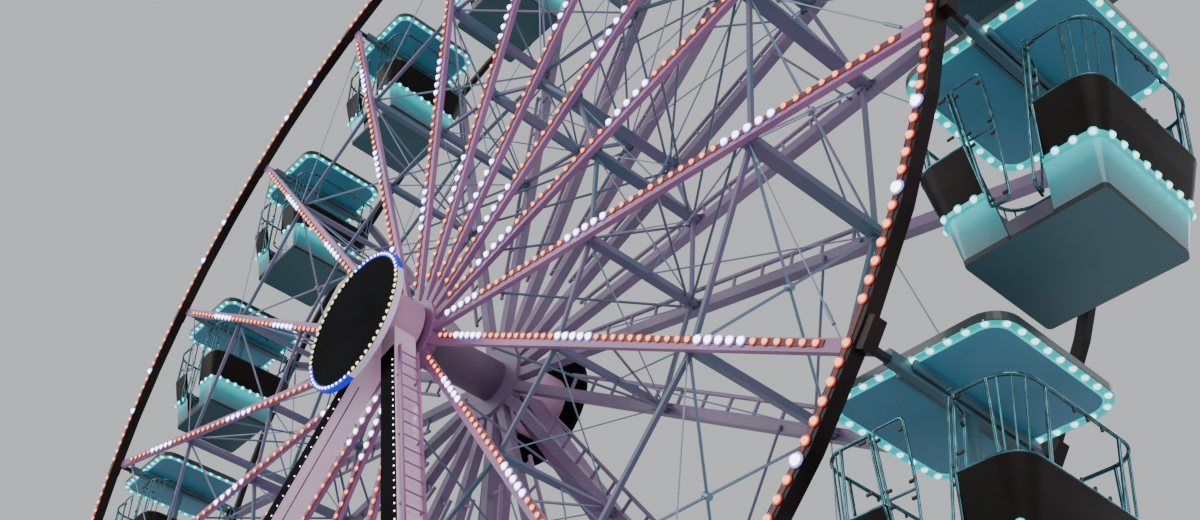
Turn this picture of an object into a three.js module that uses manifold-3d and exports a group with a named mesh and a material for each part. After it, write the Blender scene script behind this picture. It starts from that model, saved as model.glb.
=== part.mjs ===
// Ferris wheel with eighteen tub gondolas, on two splayed A-frames.
// Millimetres. The origin is on the ground under the hub, X runs to the right along the wheel,
// Y runs away from the viewer along the axle, and Z is up.
import * as THREE from 'three';
import { mergeVertices } from 'three/addons/utils/BufferGeometryUtils.js';
import Module from 'manifold-3d';

const wasm = await Module();
wasm.setup();

// Driving sizes of the wheel
const RIM_RADIUS = 10000;
const PIN_CIRCLE = 10065;
const HUB_HEIGHT = 13900;
const BAYS = 18;
const BAY = (2 * Math.PI) / BAYS;
const FIRST_SPOKE = THREE.MathUtils.degToRad(89.075);
const HALF_WIDTH = 1550;
const GAP = 0.4;
const FAR = 20000;
const WELD_DISTANCE = 1e-3;

// The two sides of the wheel. The rear one is closer to the mid plane and has deeper spokes.
// The spokes' outer faces lie at faceAtRim from the mid plane, and closer by the slope at the hub.
const FRONT = {
  sign: -1, rimOuterY: HALF_WIDTH, rimDepth: 170, faceAtRim: 1413, slope: 590, spokeDepth: 80,
  spokeWidth: 140, beamEndY: 1150,
};
const REAR = {
  sign: 1, rimOuterY: 1280, rimDepth: 100, faceAtRim: 1350, slope: 490, spokeDepth: 150,
  spokeWidth: 150, beamEndY: 1050,
};
const RIM = { radial: 120, segments: 54 };

// Bearing blocks on the rims. They sit a little ahead of the spokes, in the gaps between the lamps,
// and each has a blind bore for a gondola's pin.
const BLOCK = { innerRadius: 9925, outerRadius: 10150, along: 320, ahead: 80, inset: 20, depth: 160 };
const BEARING = { pinRadius: 45, sides: 8, cover: 50, endGap: 8 };

// Spokes run from the flanges at the hub to the bearing blocks
const SPOKE = { startRadius: 400, reach: 9960 };
const FLANGE = { radius: 620, innerY: 690, outerY: 885, sides: 36 };
const HUB = { radius: 330, halfLength: 930, sides: 24 };
const AXLE = { radius: 170, halfLength: 1500 };

// Cages of struts and ties that hold the two sides of the wheel apart
const CAGES = [
  { name: 'wheel_cage_outer', radius: 7250, strutWidth: 90, strutDepth: 200, tie: 55 },
  { name: 'wheel_cage_inner', radius: 4300, strutWidth: 80, strutDepth: 160, tie: 50 },
];
const TIE_INSET = 70;

// Stand: two A-frames. A leg's spread and splay are its run along X and Y for each unit of drop,
// and headX and headY are where its middle line would meet the height of the hub.
const LEG_SECTION = { width: 300, depth: 380, startDrop: 250 };
const FRONT_LEG = { side: -1, spread: 0.479, splay: 0.154, headX: 104, headY: 1148 };
const REAR_LEG = { side: 1, spread: 0.53, splay: 0.38, headX: 104, headY: 1050 };
const SHOE = { halfX: 420, halfY: 260, thick: 60 };
const COVER = { radius: 1120, innerY: 1750, outerY: 1840, drop: 220, sides: 48 };
const HEAD = { radius: 520, innerY: 960, outerY: COVER.innerY - GAP, sides: 24 };
const REAR_DISC = { radius: 960, innerY: COVER.innerY, outerY: 1820, sides: 40 };
const BASE = { height: 300, width: 360, overhang: 700, crossWidth: 320, crossHeight: 280 };
const FOOT_Z = BASE.height + GAP;

// Boarding deck under the lowest gondola
const DECK = { halfX: 3300, halfY: 2600, top: 1400, thick: 120, leg: 160, legInset: 200, overlap: 10 };
const STEPS = { halfWidth: 900, count: 7, going: 300, tread: 50, stringer: 420, board: 60, overlap: 30 };

// Gondola, measured from its axle. Each outline is a rectangle with rounded corners:
// x and y are half its width and depth, and r is the radius of the corners.
const RAIL = { x: 1034, y: 939, r: 317, z: -445 };
const WALL_TOP = { x: 965, y: 915, r: 258, z: -1185 };
const LIP = { x: 832, y: 783, r: 176, z: -1770 };
const SKIRT_TOP = { x: 807, y: 758, r: 151, z: LIP.z };
const UNDERSIDE = { x: 711, y: 650, r: 55, z: -2263, steps: 1 };
const ROOM_FLOOR = { x: 702, y: 642, r: 50, z: -2078, steps: 1 };
const ROOM_TOP = { x: 920, y: 870, r: 213, z: WALL_TOP.z + 1 };
const CANOPY_EDGE = { x: 988, y: 932, r: 280, z: 80 };
const CANOPY_FASCIA = { ...CANOPY_EDGE, z: 170 };
const CANOPY_CROWN = { x: 828, y: 772, r: 220, z: 260 };
const CORNER_STEPS = 2;
const TUBE = { rail: 42, post: 40, jamb: 36 };
const CORNER_POST_X = 686;
const POST_INSET = 8;
const SINK = 20;
const BEAM = { width: 100, bottomZ: -50, topZ: 100 };
const POLE = { radius: 55, sides: 6 };
const BENCH = { innerX: 430, halfY: 560, topZ: -1628, sink: 10 };

// Doorway in the front wall. Its jambs lean inwards as they go down, and so do the hinges.
const JAMB = { x: 437, z: -450 };
const LEAN = { x: 0.11, y: 0.03 };
const HINGE = { x: 392, y: -925, z: -430 };
const LATCH_HEIGHTS = [-540, -1060];
const PIVOT = { clear: 3.3, height: 30, half: 16, reach: 12 };
const LEAF = {
  thick: 30, stile: 32, edge: 15, corner: 45, topX: 60, freeX: 5, barZ: -1160, bottomZ: -2051,
};
const GATE_OPEN = THREE.MathUtils.degToRad(78);

const COLOURS = {
  frame: { color: 0xd9c3cf, roughness: 0.45, metalness: 0.1 },
  rim: { color: 0x241a1c, roughness: 0.5, metalness: 0.3 },
  cage: { color: 0x6f6a7d, roughness: 0.5, metalness: 0.3 },
  stand: { color: 0xe6a8cc, roughness: 0.45, metalness: 0.1 },
  dark: { color: 0x17161b, roughness: 0.5, metalness: 0.2 },
  steel: { color: 0x9ba0a6, roughness: 0.35, metalness: 0.8 },
  tub: { color: 0x2c2428, roughness: 0.4, metalness: 0.1 },
  deck: { color: 0x80848a, roughness: 0.6, metalness: 0.4 },
};

const ferrisWheel = new THREE.Group();

// Turns a closed three.js geometry into a solid
function solidOf(geometry) {
  const bare = geometry.clone();
  bare.deleteAttribute('normal');
  bare.deleteAttribute('uv');
  const merged = mergeVertices(bare, WELD_DISTANCE);
  return new wasm.Manifold(new wasm.Mesh({
    numProp: 3,
    vertProperties: new Float32Array(merged.attributes.position.array),
    triVerts: new Uint32Array(merged.index.array),
  }));
}

function geometryOf(solid) {
  const mesh = solid.getMesh();
  const geometry = new THREE.BufferGeometry();
  geometry.setAttribute('position', new THREE.BufferAttribute(mesh.vertProperties, 3));
  geometry.setIndex(new THREE.BufferAttribute(mesh.triVerts, 1));
  const flat = geometry.toNonIndexed();
  flat.computeVertexNormals();
  return flat;
}

function join(solids) {
  return wasm.Manifold.union(solids);
}

function addMesh(name, solid, look, position = new THREE.Vector3()) {
  const material = new THREE.MeshStandardMaterial(COLOURS[look]);
  const mesh = new THREE.Mesh(geometryOf(solid), material);
  mesh.name = name;
  mesh.position.copy(position);
  ferrisWheel.add(mesh);
}

// A box given by its limits
function block(x0, x1, y0, y1, z0, z1) {
  const geometry = new THREE.BoxGeometry(x1 - x0, y1 - y0, z1 - z0);
  geometry.translate((x0 + x1) / 2, (y0 + y1) / 2, (z0 + z1) / 2);
  return solidOf(geometry);
}

// A straight bar from one point to another; its width lies along the side vector
function bar(from, to, width, depth, side) {
  const along = new THREE.Vector3().subVectors(to, from);
  const length = along.length();
  along.normalize();
  const across = side.clone().addScaledVector(along, -side.dot(along)).normalize();
  const up = new THREE.Vector3().crossVectors(along, across);
  const geometry = new THREE.BoxGeometry(width, depth, length);
  geometry.applyMatrix4(new THREE.Matrix4().makeBasis(across, up, along));
  const middle = new THREE.Vector3().addVectors(from, to).multiplyScalar(0.5);
  geometry.translate(middle.x, middle.y, middle.z);
  return solidOf(geometry);
}

// A round bar or disc along Y
function roundY(radius, y0, y1, sides) {
  const geometry = new THREE.CylinderGeometry(radius, radius, y1 - y0, sides);
  geometry.translate(0, (y0 + y1) / 2, 0);
  return solidOf(geometry);
}

// A hole along Y whose flats just clear a round bar with the same number of sides.
// It is turned by half a side, so the bar's corners meet the middles of the flats.
function boreY(barRadius, y0, y1, sides) {
  const halfSide = Math.PI / sides;
  const radius = (barRadius + GAP) / Math.cos(halfSide);
  const geometry = new THREE.CylinderGeometry(radius, radius, y1 - y0, sides);
  geometry.rotateY(halfSide);
  geometry.translate(0, (y0 + y1) / 2, 0);
  return solidOf(geometry);
}

function roundZ(radius, z0, z1, sides) {
  const geometry = new THREE.CylinderGeometry(radius, radius, z1 - z0, sides);
  geometry.rotateX(Math.PI / 2);
  geometry.translate(0, 0, (z0 + z1) / 2);
  return solidOf(geometry);
}

// Direction of a spoke in the plane of the wheel
function spokeDirection(index) {
  const angle = FIRST_SPOKE + index * BAY;
  return new THREE.Vector3(Math.cos(angle), 0, Math.sin(angle));
}

function tangentOf(direction) {
  return new THREE.Vector3(-direction.z, 0, direction.x);
}

// Distance of a spoke's outer face from the mid plane at a radius
function spokeFace(side, radius) {
  return side.faceAtRim - side.slope * (1 - radius / RIM_RADIUS);
}

function atWheel(direction, radius, y) {
  return direction.clone().multiplyScalar(radius).setY(y);
}

const HUB_CENTRE = new THREE.Vector3(0, 0, HUB_HEIGHT);

// A prism whose flats face the spokes. It trims their ends square, just short of the bearing blocks.
function spokeTrim() {
  const halfSide = Math.PI / BAYS;
  const radius = (BLOCK.innerRadius - GAP) / Math.cos(halfSide);
  const geometry = new THREE.CylinderGeometry(radius, radius, 2 * HALF_WIDTH, BAYS);
  geometry.rotateY(Math.PI / 2 - halfSide - FIRST_SPOKE);
  return solidOf(geometry);
}

// Solids are made at the rear and mirrored to the front
function placed(side, solid) {
  return side.sign < 0 ? solid.mirror([0, 1, 0]) : solid;
}

// Flange and spokes of one side
function spokeSet(side) {
  const solids = [roundY(FLANGE.radius, FLANGE.innerY, FLANGE.outerY, FLANGE.sides)];
  for (let i = 0; i < BAYS; i += 1) {
    const direction = spokeDirection(i);
    const middle = (radius) => atWheel(direction, radius, spokeFace(side, radius) - side.spokeDepth / 2);
    solids.push(bar(middle(SPOKE.startRadius), middle(SPOKE.reach), side.spokeWidth, side.spokeDepth,
      tangentOf(direction)));
  }
  const bore = roundY(HUB.radius + GAP, 0, HALF_WIDTH, HUB.sides);
  return placed(side, join(solids).subtract(bore).intersect(spokeTrim()));
}

// Distance from the mid plane to the end of a blind bore for a pin
function boreEnd(side) {
  return side.rimOuterY - BLOCK.inset - BEARING.cover;
}

function rimRing(side) {
  const ring = roundY(RIM_RADIUS + RIM.radial / 2, side.rimOuterY - side.rimDepth, side.rimOuterY,
    RIM.segments);
  const hole = roundY(RIM_RADIUS - RIM.radial / 2, 0, 2 * HALF_WIDTH, RIM.segments);
  const radial = BLOCK.outerRadius - BLOCK.innerRadius;
  const middleRadius = (BLOCK.outerRadius + BLOCK.innerRadius) / 2;
  const outerY = side.rimOuterY - BLOCK.inset;
  const solids = [ring.subtract(hole)];
  const bores = [];
  for (let i = 0; i < BAYS; i += 1) {
    const direction = spokeDirection(i);
    const tangent = tangentOf(direction);
    const at = (y) => atWheel(direction, middleRadius, y).addScaledVector(tangent, BLOCK.ahead);
    solids.push(bar(at(outerY - BLOCK.depth), at(outerY), BLOCK.along, radial, tangent));
    const bore = boreY(BEARING.pinRadius, side.beamEndY, boreEnd(side), BEARING.sides);
    bores.push(bore.translate(direction.clone().multiplyScalar(PIN_CIRCLE).toArray()));
  }
  return placed(side, join(solids).subtract(join(bores)));
}

function hub() {
  const drum = roundY(HUB.radius, -HUB.halfLength, HUB.halfLength, HUB.sides);
  return drum.subtract(boreY(AXLE.radius, -HALF_WIDTH, HALF_WIDTH, HUB.sides));
}

// Cross struts between the front and rear spokes, tied to each other round the wheel
function cage(sizes) {
  const endOf = (side) => side.sign
    * (spokeFace(side, sizes.radius - sizes.strutDepth / 2) - side.spokeDepth - 2 * GAP);
  const solids = [];
  for (let i = 0; i < BAYS; i += 1) {
    const here = spokeDirection(i);
    const next = spokeDirection(i + 1);
    solids.push(bar(atWheel(here, sizes.radius, endOf(FRONT)), atWheel(here, sizes.radius, endOf(REAR)),
      sizes.strutWidth, sizes.strutDepth, tangentOf(here)));
    for (const side of [FRONT, REAR]) {
      const y = endOf(side) - side.sign * TIE_INSET;
      solids.push(bar(atWheel(here, sizes.radius, y), atWheel(next, sizes.radius, y),
        sizes.tie, sizes.tie, new THREE.Vector3(0, 1, 0)));
    }
  }
  return join(solids);
}

// Points round a rectangle with rounded corners
function roundedOutline({ x, y, r, z, steps = CORNER_STEPS }) {
  const points = [];
  const corners = [[1, 1, 0], [-1, 1, 1], [-1, -1, 2], [1, -1, 3]];
  for (const [sx, sy, quarter] of corners) {
    for (let k = 0; k <= steps; k += 1) {
      const angle = (quarter + k / steps) * Math.PI / 2;
      points.push(new THREE.Vector3(sx * (x - r) + r * Math.cos(angle),
        sy * (y - r) + r * Math.sin(angle), z));
    }
  }
  return points;
}

// A convex solid through a list of outlines
function hullOf(outlines) {
  return wasm.Manifold.hull(outlines.flatMap(roundedOutline).map((point) => point.toArray()));
}

function grown(outline, by, z = outline.z) {
  return { ...outline, x: outline.x + by, y: outline.y + by, r: outline.r + by, z };
}

// A flat profile in the XZ plane, given as [x, z] points, made solid from y0 to y1
function profileAlongY(points, y0, y1) {
  const shape = new THREE.Shape(points.map(([x, z]) => new THREE.Vector2(x, z)));
  const geometry = new THREE.ExtrudeGeometry(shape, { depth: y1 - y0, bevelEnabled: false });
  const xAxis = new THREE.Vector3(1, 0, 0);
  const zAxis = new THREE.Vector3(0, 0, 1);
  geometry.applyMatrix4(new THREE.Matrix4().makeBasis(xAxis, zAxis, new THREE.Vector3(0, -1, 0)));
  geometry.translate(0, y1, 0);
  return solidOf(geometry);
}

function jambX(z) {
  return JAMB.x - LEAN.x * (JAMB.z - z);
}

function hingeX(z) {
  return HINGE.x - LEAN.x * (HINGE.z - z);
}

function hingeY(z) {
  return HINGE.y + LEAN.y * (HINGE.z - z);
}

// The doorway narrows with the tub and passes through the front wall only
function doorway() {
  const low = ROOM_FLOOR.z;
  const high = WALL_TOP.z + SINK;
  const halfAt = (z) => jambX(z) - TUBE.jamb / 2;
  const outline = [[-halfAt(low), low], [halfAt(low), low], [halfAt(high), high], [-halfAt(high), high]];
  return profileAlongY(outline, -FAR, -BENCH.halfY);
}

// Walls that lean outwards over a set-back skirt, with the two benches
function tub() {
  const walls = hullOf([WALL_TOP, LIP]);
  const skirt = hullOf([SKIRT_TOP, UNDERSIDE]);
  const room = hullOf([ROOM_TOP, ROOM_FLOOR]);
  const benches = [1, -1].map((side) => {
    const near = side * BENCH.innerX;
    const far = side * WALL_TOP.x;
    return block(Math.min(near, far), Math.max(near, far), -BENCH.halfY, BENCH.halfY,
      ROOM_FLOOR.z - BENCH.sink, BENCH.topZ);
  });
  const reach = hullOf([grown(ROOM_TOP, BENCH.sink), grown(ROOM_FLOOR, BENCH.sink, ROOM_FLOOR.z - SINK)]);
  const shell = join([walls, skirt]).subtract(room).subtract(doorway());
  return join([shell, join(benches).intersect(reach)]);
}

// Top rail, open at the doorway, and the posts that carry it. The right jamb ends in a block over
// the top of the gate, for its pivot.
function rails() {
  const bottom = RAIL.z - TUBE.rail;
  const ring = hullOf([RAIL, grown(RAIL, 0, bottom)]);
  const hole = hullOf([grown(RAIL, -TUBE.rail, RAIL.z + SINK), grown(RAIL, -TUBE.rail, bottom - SINK)]);
  const gap = block(-JAMB.x, JAMB.x, -FAR, 0, bottom - SINK, RAIL.z + SINK);
  const half = TUBE.post / 2;
  const low = WALL_TOP.z - SINK;
  const high = RAIL.z - half;
  const post = (x0, y0, x1, y1, width, top = high) => bar(new THREE.Vector3(x0, y0, low),
    new THREE.Vector3(x1, y1, top), width, TUBE.jamb, new THREE.Vector3(1, 0, 0));
  const pivotZ = HINGE.z + PIVOT.clear + PIVOT.height;
  const solids = [ring.subtract(hole).subtract(gap)];
  for (const sx of [1, -1]) {
    for (const sy of [1, -1]) {
      solids.push(post(sx * CORNER_POST_X, sy * (WALL_TOP.y - half - POST_INSET),
        sx * CORNER_POST_X, sy * (RAIL.y - half - POST_INSET), TUBE.post));
    }
    solids.push(post(sx * jambX(low), half - WALL_TOP.y, sx * JAMB.x, half - RAIL.y, TUBE.jamb,
      sx > 0 ? pivotZ - PIVOT.clear : high));
  }
  solids.push(block(HINGE.x - PIVOT.reach, JAMB.x, HINGE.y - PIVOT.half, HINGE.y + PIVOT.half,
    HINGE.z + PIVOT.clear, pivotZ));
  return solids;
}

// The frame of the right door leaf, closed: a stile on each side and three bars
function closedLeaf() {
  const { thick, stile, edge, corner, topX, freeX, barZ, bottomZ } = LEAF;
  const top = HINGE.z;
  const hingeSide = (z, inset) => [hingeX(z) + edge - inset, z];
  const freeAt = (z) => (z < barZ ? freeX : THREE.MathUtils.mapLinear(z, barZ, top, freeX, topX));
  const freeSide = (z, inset) => [freeAt(z) + inset, z];
  const outline = [
    hingeSide(bottomZ, 0), hingeSide(top, 0), [topX + corner, top],
    freeSide(top - corner, 0), freeSide(barZ, 0), freeSide(bottomZ, 0),
  ];
  const opening = (z0, z1) => profileAlongY([
    hingeSide(z0, stile), hingeSide(z1, stile), freeSide(z1, stile), freeSide(z0, stile),
  ], -thick, thick);
  const flat = profileAlongY(outline, -thick / 2, thick / 2)
    .subtract(join([opening(bottomZ + stile, barZ - stile), opening(barZ, top - stile)]));
  return flat.warp((point) => {
    point[1] += hingeY(point[2]);
  });
}

// The left leaf is shut, so it is one piece with the tub; short pins join it to its jamb
function leftLeaf() {
  const pins = LATCH_HEIGHTS.map((z) => block(hingeX(z), jambX(z), hingeY(z) - LEAF.edge / 2,
    hingeY(z) + LEAF.edge / 2, z - LEAF.edge, z + LEAF.edge));
  return join([closedLeaf(), ...pins]).mirror([1, 0, 0]);
}

// The right leaf stands open inwards, turned about its leaning hinge line
function openLeaf() {
  const pivot = new THREE.Vector3(HINGE.x, HINGE.y, HINGE.z);
  const axis = new THREE.Vector3(LEAN.x, -LEAN.y, 1).normalize();
  return closedLeaf().warp((point) => {
    const turned = new THREE.Vector3(...point).sub(pivot).applyAxisAngle(axis, -GATE_OPEN).add(pivot);
    [point[0], point[1], point[2]] = turned.toArray();
  });
}

function canopy() {
  return hullOf([CANOPY_EDGE, CANOPY_FASCIA, CANOPY_CROWN]);
}

function hanger() {
  const pinEnd = (side) => boreEnd(side) - BEARING.endGap;
  return [
    block(-BEAM.width / 2, BEAM.width / 2, -FRONT.beamEndY, REAR.beamEndY, BEAM.bottomZ, BEAM.topZ),
    roundY(BEARING.pinRadius, -pinEnd(FRONT), pinEnd(REAR), BEARING.sides),
    roundZ(POLE.radius, ROOM_FLOOR.z - SINK, BEAM.bottomZ + SINK, POLE.sides),
  ];
}

function gondola() {
  return join([tub(), ...rails(), leftLeaf(), canopy(), ...hanger()]);
}

// Middle line of a leg at a height
function legPoint(frame, sx, z) {
  const drop = HUB_HEIGHT - z;
  return new THREE.Vector3(sx * (frame.headX + frame.spread * drop),
    frame.side * (frame.headY + frame.splay * drop), z);
}

function leg(frame, sx) {
  const top = legPoint(frame, sx, HUB_HEIGHT - LEG_SECTION.startDrop);
  const column = bar(legPoint(frame, sx, -BASE.height), top, LEG_SECTION.width, LEG_SECTION.depth,
    new THREE.Vector3(1, 0, 0));
  const foot = legPoint(frame, sx, FOOT_Z);
  const shoe = block(foot.x - SHOE.halfX, foot.x + SHOE.halfX, foot.y - SHOE.halfY, foot.y + SHOE.halfY,
    FOOT_Z, FOOT_Z + SHOE.thick);
  const ground = block(-FAR, FAR, -FAR, FAR, -FAR, FOOT_Z);
  const socket = roundY(HEAD.radius + GAP, -FAR, FAR, HEAD.sides).translate([0, 0, HUB_HEIGHT]);
  return join([column, shoe]).subtract(ground).subtract(socket);
}

function head(sy) {
  const drum = roundY(HEAD.radius, HEAD.innerY, HEAD.outerY, HEAD.sides);
  const bore = roundY(AXLE.radius + GAP, 0, FAR, HUB.sides);
  const solid = drum.subtract(bore);
  return sy < 0 ? solid.mirror([0, 1, 0]) : solid;
}

// X of the deck's rows of legs, which stand on cross beams of the base
function deckRows() {
  const outer = DECK.halfX - DECK.legInset;
  return [-outer, 0, outer];
}

function deck() {
  const solids = [block(-DECK.halfX, DECK.halfX, -DECK.halfY, DECK.halfY,
    DECK.top - DECK.thick, DECK.top)];
  const legY = DECK.halfY - DECK.legInset;
  const half = DECK.leg / 2;
  for (const x of deckRows()) {
    for (const y of [-legY, legY]) {
      solids.push(block(x - half, x + half, y - half, y + half, BASE.crossHeight + GAP,
        DECK.top - DECK.overlap));
    }
  }
  return join(solids);
}

// A flat profile in the YZ plane, given as [y, z] points, made solid from x0 to x1
function profileAlongX(points, x0, x1) {
  const shape = new THREE.Shape(points.map(([y, z]) => new THREE.Vector2(y, z)));
  const geometry = new THREE.ExtrudeGeometry(shape, { depth: x1 - x0, bevelEnabled: false });
  const yAxis = new THREE.Vector3(0, 1, 0);
  const zAxis = new THREE.Vector3(0, 0, 1);
  geometry.applyMatrix4(new THREE.Matrix4().makeBasis(yAxis, zAxis, new THREE.Vector3(1, 0, 0)));
  geometry.translate(x0, 0, 0);
  return solidOf(geometry);
}

// Stairs up to the front edge of the deck: two stringers with treads between them
function steps() {
  const { halfWidth, count, going, tread, stringer, board, overlap } = STEPS;
  const rise = DECK.top / (count + 1);
  const topZ = DECK.top - DECK.overlap;
  const topY = -DECK.halfY - GAP;
  const run = (count + 1) * going;
  const side = [[topY, topZ], [topY, topZ - stringer], [topY - run + stringer, 0], [topY - run, 0]];
  const solids = [
    profileAlongX(side, -halfWidth, -halfWidth + board),
    profileAlongX(side, halfWidth - board, halfWidth),
  ];
  for (let k = 1; k <= count; k += 1) {
    const inner = topY - (count - k) * going - 1;
    solids.push(block(-halfWidth + overlap, halfWidth - overlap, inner - going, inner,
      k * rise - tread, k * rise));
  }
  return join(solids);
}

// Beams on the ground: one under each A-frame, one at each side, and those under the deck
function baseFrame() {
  const solids = [];
  for (const frame of [FRONT_LEG, REAR_LEG]) {
    const foot = legPoint(frame, 1, FOOT_Z);
    const endX = foot.x + BASE.overhang;
    solids.push(block(-endX, endX, foot.y - BASE.width / 2, foot.y + BASE.width / 2, 0, BASE.height));
  }
  const middle = BASE.crossHeight / 2;
  const across = new THREE.Vector3(1, 0, 0);
  const beam = (front, rear) => bar(front.setZ(middle), rear.setZ(middle), BASE.crossWidth,
    BASE.crossHeight, across);
  for (const sx of [1, -1]) {
    solids.push(beam(legPoint(FRONT_LEG, sx, FOOT_Z), legPoint(REAR_LEG, sx, FOOT_Z)));
  }
  for (const x of deckRows()) {
    solids.push(beam(legPoint(FRONT_LEG, 0, FOOT_Z).setX(x), legPoint(REAR_LEG, 0, FOOT_Z).setX(x)));
  }
  return join(solids);
}

// Wheel
addMesh('wheel_hub', hub(), 'frame', HUB_CENTRE);
addMesh('wheel_spokes_front', spokeSet(FRONT), 'frame', HUB_CENTRE);
addMesh('wheel_spokes_rear', spokeSet(REAR), 'frame', HUB_CENTRE);
addMesh('wheel_rim_front', rimRing(FRONT), 'rim', HUB_CENTRE);
addMesh('wheel_rim_rear', rimRing(REAR), 'rim', HUB_CENTRE);
for (const sizes of CAGES) {
  addMesh(sizes.name, cage(sizes), 'cage', HUB_CENTRE);
}

// Gondolas, numbered round the wheel from the top, each with its gate
const gondolaSolid = gondola();
const gateSolid = openLeaf();
for (let i = 0; i < BAYS; i += 1) {
  const place = spokeDirection(i).multiplyScalar(PIN_CIRCLE).add(HUB_CENTRE);
  const name = `gondola_${String(i + 1).padStart(2, '0')}`;
  addMesh(name, gondolaSolid, 'tub', place);
  addMesh(`${name}_gate`, gateSolid, 'steel', place);
}

// Stand
addMesh('stand_axle', roundY(AXLE.radius, -AXLE.halfLength, AXLE.halfLength, HUB.sides), 'steel',
  HUB_CENTRE);
addMesh('stand_head_front', head(-1), 'stand', HUB_CENTRE);
addMesh('stand_head_rear', head(1), 'stand', HUB_CENTRE);
addMesh('stand_cover_disc', roundY(COVER.radius, -COVER.outerY, -COVER.innerY, COVER.sides), 'dark',
  HUB_CENTRE.clone().setZ(HUB_HEIGHT - COVER.drop));
addMesh('stand_rear_disc', roundY(REAR_DISC.radius, REAR_DISC.innerY, REAR_DISC.outerY,
  REAR_DISC.sides), 'dark', HUB_CENTRE);
addMesh('stand_leg_front_left', leg(FRONT_LEG, -1), 'stand');
addMesh('stand_leg_front_right', leg(FRONT_LEG, 1), 'stand');
addMesh('stand_leg_rear_left', leg(REAR_LEG, -1), 'stand');
addMesh('stand_leg_rear_right', leg(REAR_LEG, 1), 'stand');
addMesh('base_frame', baseFrame(), 'stand');
addMesh('boarding_deck', deck(), 'deck');
addMesh('boarding_steps', steps(), 'deck');

export default ferrisWheel;
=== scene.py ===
# Ferris wheel: the visual model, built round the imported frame. Metres, +Z up, viewer at -Y.
import math

import bpy
from mathutils import Matrix, Vector


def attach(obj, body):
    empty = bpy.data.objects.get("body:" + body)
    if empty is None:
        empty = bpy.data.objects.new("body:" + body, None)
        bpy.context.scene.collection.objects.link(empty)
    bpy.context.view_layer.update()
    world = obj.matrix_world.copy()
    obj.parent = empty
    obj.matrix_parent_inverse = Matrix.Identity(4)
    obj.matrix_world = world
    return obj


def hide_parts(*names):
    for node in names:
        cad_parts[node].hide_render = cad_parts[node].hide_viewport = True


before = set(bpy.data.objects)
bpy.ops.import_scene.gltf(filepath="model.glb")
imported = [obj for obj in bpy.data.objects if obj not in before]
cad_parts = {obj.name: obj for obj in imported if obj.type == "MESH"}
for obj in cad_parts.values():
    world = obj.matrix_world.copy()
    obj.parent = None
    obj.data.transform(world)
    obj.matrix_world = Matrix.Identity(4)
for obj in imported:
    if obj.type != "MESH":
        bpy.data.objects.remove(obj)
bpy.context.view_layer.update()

# Wheel
AXLE_HEIGHT = 13.9
HUB = Vector((0, 0, AXLE_HEIGHT))
BAYS = 18
BAY = 2 * math.pi / BAYS
FIRST_SPOKE = math.radians(89.075)
FIRST_NODE = math.radians(90)
RIM_RADIUS = 10.0
PIN_CIRCLE = 10.065
RIM_FACE = 1.55
# Each side of the wheel: sign, spoke face at the rim, its slope towards the hub, spoke depth
FRONT = (-1, 1.413, 0.590, 0.08)
REAR = (1, 1.350, 0.490, 0.15)

# Gondola outlines, from its axle: half width, half depth, corner radius, height. The canopy's
# two have no height.
RAIL = (1.034, 0.939, 0.317, -0.466)
WALL_TOP = (0.965, 0.915, 0.258, -1.185)
LIP = (0.832, 0.783, 0.176, -1.770)
SKIRT_TOP = (0.807, 0.758, 0.151, -1.778)
SEAM = (0.718, 0.656, 0.06, -2.205)
UNDERSIDE = (0.711, 0.650, 0.055, -2.263)
ROOM_FLOOR = (0.702, 0.642, 0.05, -2.078)
SILL_TOP = (0.736, 0.677, 0.085, -2.079)
ROOM_TOP = (0.920, 0.870, 0.213, -1.185)
CANOPY = (0.988, 0.932, 0.28)
CANOPY_LAMPS = (0.940, 0.887, 0.238)
CORNER_STEPS = 7

# Door leaf: its upper hinge, the lean of the hinge line for each metre down, the angle that it
# stands open at, and the heights of its top, cross bar and bottom
HINGE = (0.392, -0.925, -0.43)
HINGE_LEAN = (0.11, 0.03)
OPEN_ANGLE = 78
LEAF_TOP = -0.446
LEAF_BAR = -1.16
LEAF_BOTTOM = -2.036
# Top of the right jamb's middle line: x, z. Then half the jamb's width.
JAMB_TOP = (0.437, -0.45)
JAMB_HALF = 0.018

# Front legs: sideways spread and outward splay for each metre down, and their distance from the
# wheel's mid plane and from its centre line at the height of the axle. Then half their width.
LEG_SPREAD = 0.479
LEG_SPLAY = 0.154
LEG_TOP_Y = 1.148
LEG_TOP_X = 0.104
LEG_HALF = 0.136

# Deck: half width, half depth, top. Then the height of its railings.
DECK = (3.2, 2.5, 1.4)
RAIL_HEIGHT = 1.05


def lerp(a, b, t):
    return a + (b - a) * t


# The quads between two loops of n points
def band_faces(n):
    return [(k, (k + 1) % n, n + (k + 1) % n, n + k) for k in range(n)]


# The same, with a cap at each end
def prism_faces(n):
    return band_faces(n) + [tuple(reversed(range(n))), tuple(range(n, 2 * n))]


# Faces that look the other way
def turned(faces):
    return [tuple(reversed(face)) for face in faces]


# Collects faces with a material number each, then becomes one mesh
class Shape:
    def __init__(self):
        self.verts = []
        self.faces = []
        self.mats = []
        self.smooth = []

    def add(self, verts, faces, mat=0, smooth=False):
        start = len(self.verts)
        self.verts.extend(tuple(v) for v in verts)
        self.faces.extend(tuple(start + i for i in f) for f in faces)
        self.mats.extend([mat] * len(faces))
        self.smooth.extend([smooth] * len(faces))

    def mesh(self, name, materials):
        data = bpy.data.meshes.new(name)
        data.from_pydata(self.verts, [], self.faces)
        for m in materials:
            data.materials.append(m)
        data.polygons.foreach_set("material_index", self.mats)
        data.polygons.foreach_set("use_smooth", self.smooth)
        data.update()
        return data


# A new piece that moves with a body
def place(name, data, body, at=(0, 0, 0)):
    obj = bpy.data.objects.new(name, data)
    bpy.context.scene.collection.objects.link(obj)
    obj.location = at
    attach(obj, body)
    return obj


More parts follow.
